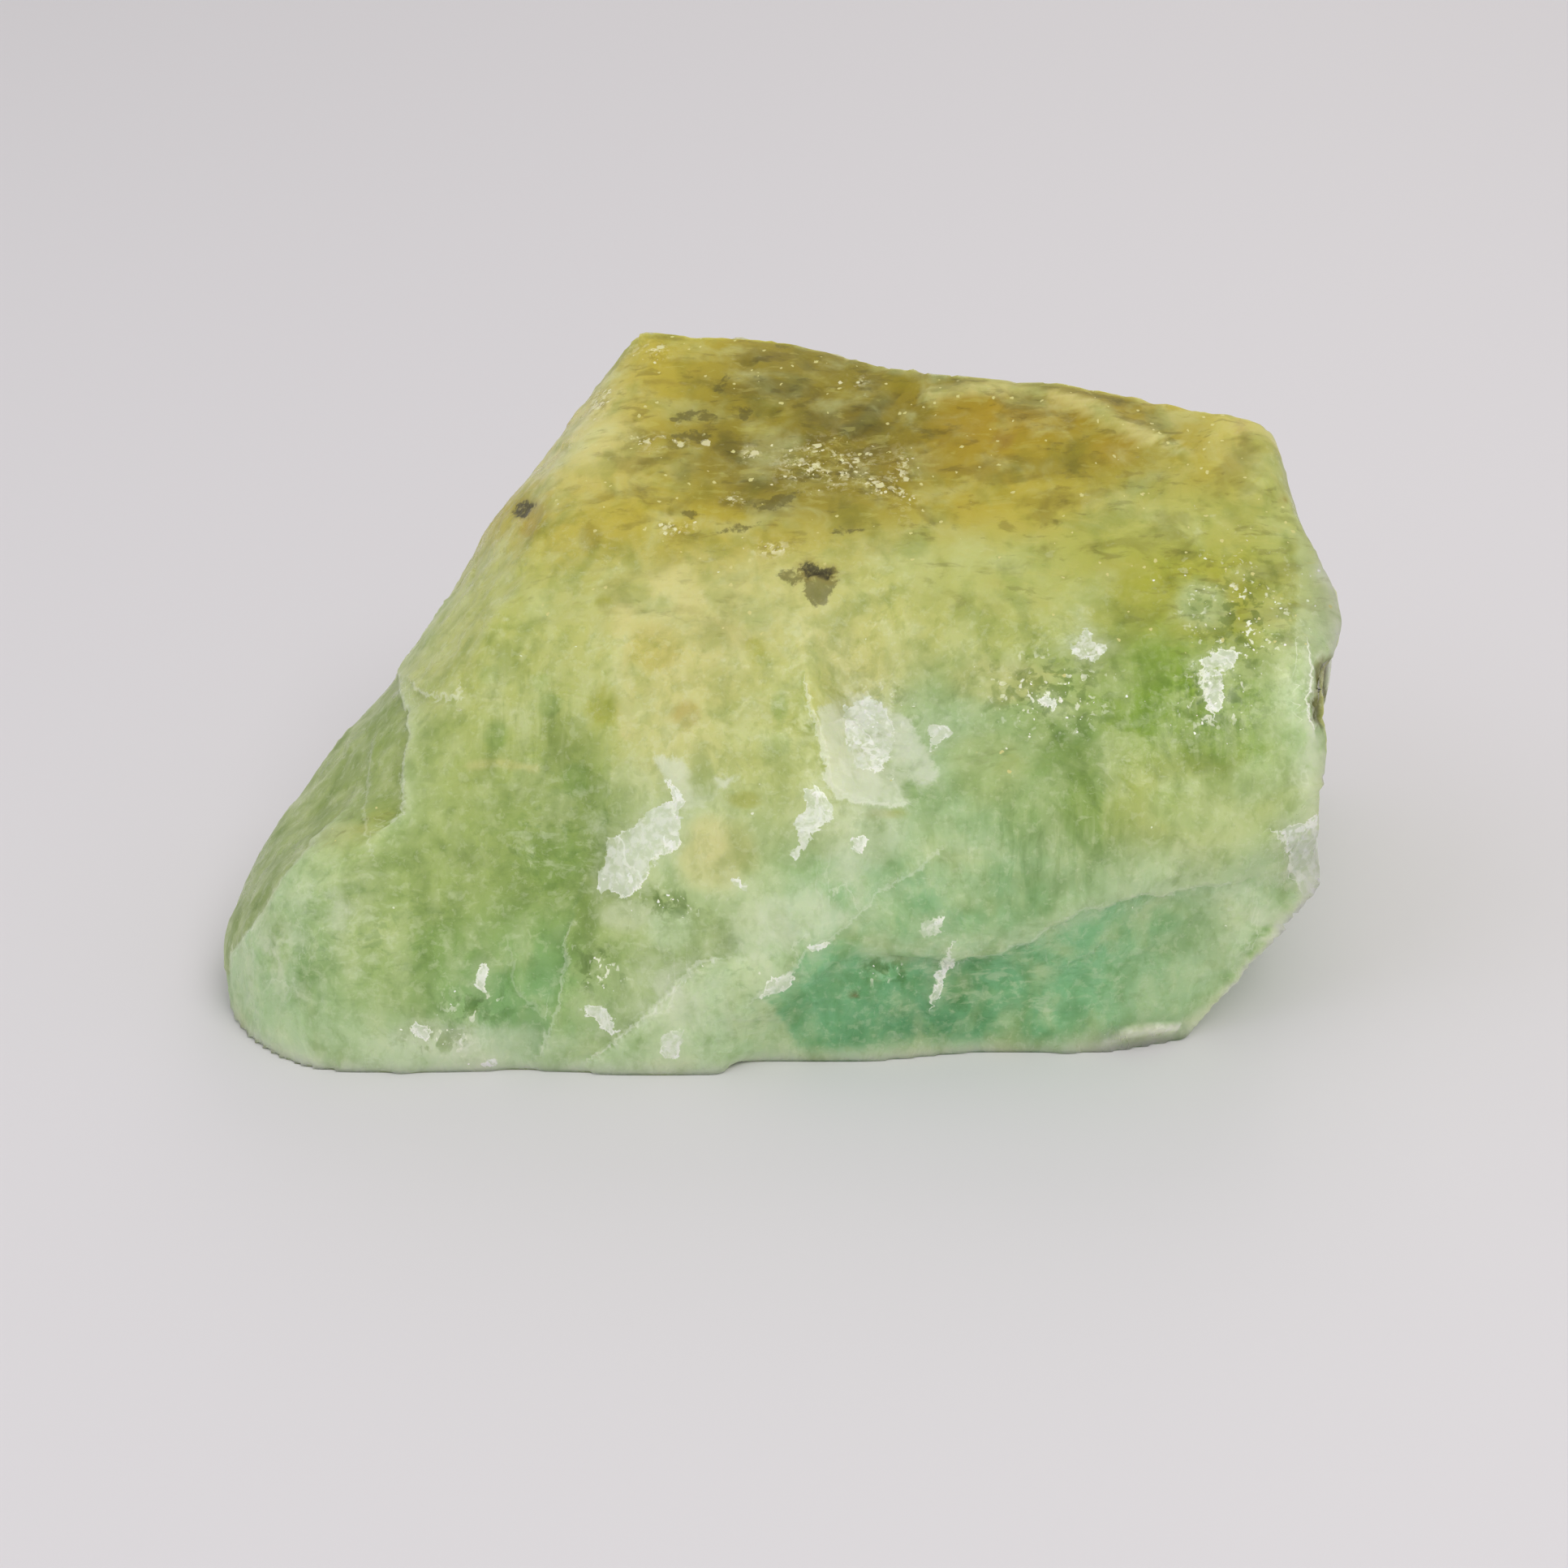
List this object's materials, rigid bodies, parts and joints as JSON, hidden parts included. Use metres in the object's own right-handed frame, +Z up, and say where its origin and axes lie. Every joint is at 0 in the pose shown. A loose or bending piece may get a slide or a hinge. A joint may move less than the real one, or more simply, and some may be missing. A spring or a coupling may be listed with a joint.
{
  "type": "raw aquamarine",
  "caption": "Rough broken lump of milky green beryl: a weathered sloping top, a leaning front with low ledges, a blunt nose at one end and a flat underside that it rests on",
  "frame": {"origin": "a point of the flat underside, below the middle of the stone", "axes": "+Z up from the ground, +X along the length toward the squarer right end, +Y from the fresh front to the back"},
  "size_m": [0.0678, 0.0373, 0.0324],
  "materials": {
    "beryl": "satin"
  },
  "bodies": {
    "root": {"aquamarine": "beryl"}
  },
  "joints": []
}
